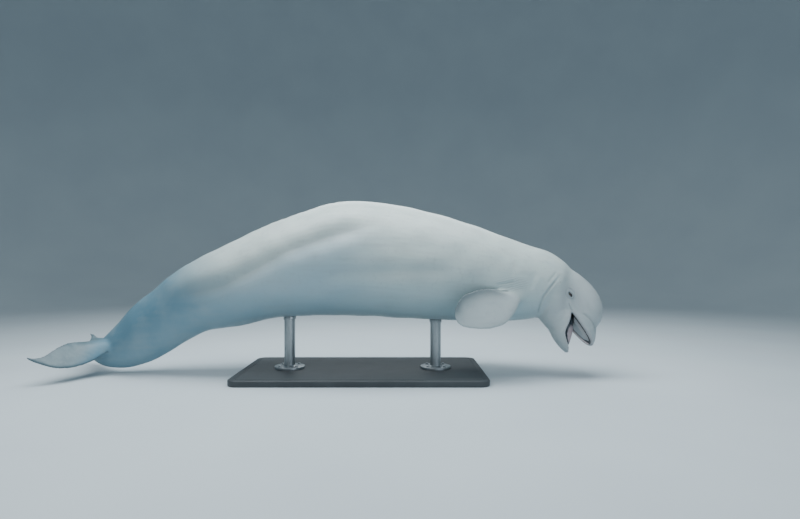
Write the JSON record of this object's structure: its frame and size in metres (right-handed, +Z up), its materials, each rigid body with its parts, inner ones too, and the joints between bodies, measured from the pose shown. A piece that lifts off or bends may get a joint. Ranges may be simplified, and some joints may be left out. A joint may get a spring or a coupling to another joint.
{
  "type": "life-size display model of a beluga whale",
  "caption": "Still, life-size beluga whale arched nose down with its mouth open, on a flat base with two short rods.",
  "frame": {"origin": "on the floor, at the middle of the model's bounding box seen from above", "axes": "+X the way the whale faces, +Y its left side, +Z up"},
  "size_m": [3.3944, 0.8, 1.1003],
  "materials": {
    "skin": "satin, the pale grey-white skin of an adult beluga",
    "tail_skin": "satin, a little greyer than the body",
    "tongue": "moist satin, pinkish grey",
    "eye": "wet gloss, dark brown",
    "base": "satin dark grey paint on a steel slab",
    "steel": "brushed"
  },
  "bodies": {
    "root": {"head": "skin", "lower_jaw": "skin", "neck": "skin", "chest": "skin", "torso": "skin", "abdomen": "skin", "tail_stock": "tail_skin", "tail_end": "tail_skin", "fluke_right": "tail_skin", "fluke_left": "tail_skin", "flipper_right": "skin", "flipper_left": "skin", "tongue": "tongue", "eye_right": "eye", "eye_left": "eye", "stand_base": "base", "stand_rod_rear": "steel", "stand_rod_front": "steel", "stand_flange_rear": "steel", "stand_flange_front": "steel"}
  },
  "joints": []
}
